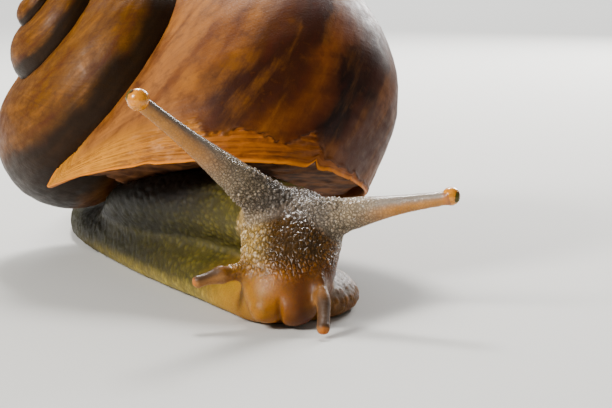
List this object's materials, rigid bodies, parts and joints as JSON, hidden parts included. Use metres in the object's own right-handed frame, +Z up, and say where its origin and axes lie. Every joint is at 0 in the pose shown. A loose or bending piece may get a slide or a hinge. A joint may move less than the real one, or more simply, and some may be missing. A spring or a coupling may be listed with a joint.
{
  "type": "garden snail",
  "caption": "Garden snail model crawling on its foot, with a coiled shell, lowered head and extended tentacles.",
  "frame": {"origin": "on the floor, under the middle of the model's bounding box", "axes": "+Z up; -Y the way the head faces; +X the snail's left"},
  "size_m": [0.0306, 0.066, 0.027],
  "materials": {
    "shell": "satin horny shell, caramel with dark bands and growth lines",
    "mantle": "moist dark brown flesh",
    "skin": "moist tuberculate skin, olive brown to amber",
    "eye": "glossy amber bulb with a dark eye spot"
  },
  "bodies": {
    "root": {"shell": "shell", "mantle": "mantle", "torso": "skin", "neck": "skin", "head": "skin", "foot_front": "skin", "foot_middle": "skin", "tail": "skin", "upper_tentacle_left": "skin", "upper_tentacle_right": "skin", "lower_tentacle_left": "skin", "lower_tentacle_right": "skin", "eye_left": "eye", "eye_right": "eye"}
  },
  "joints": []
}
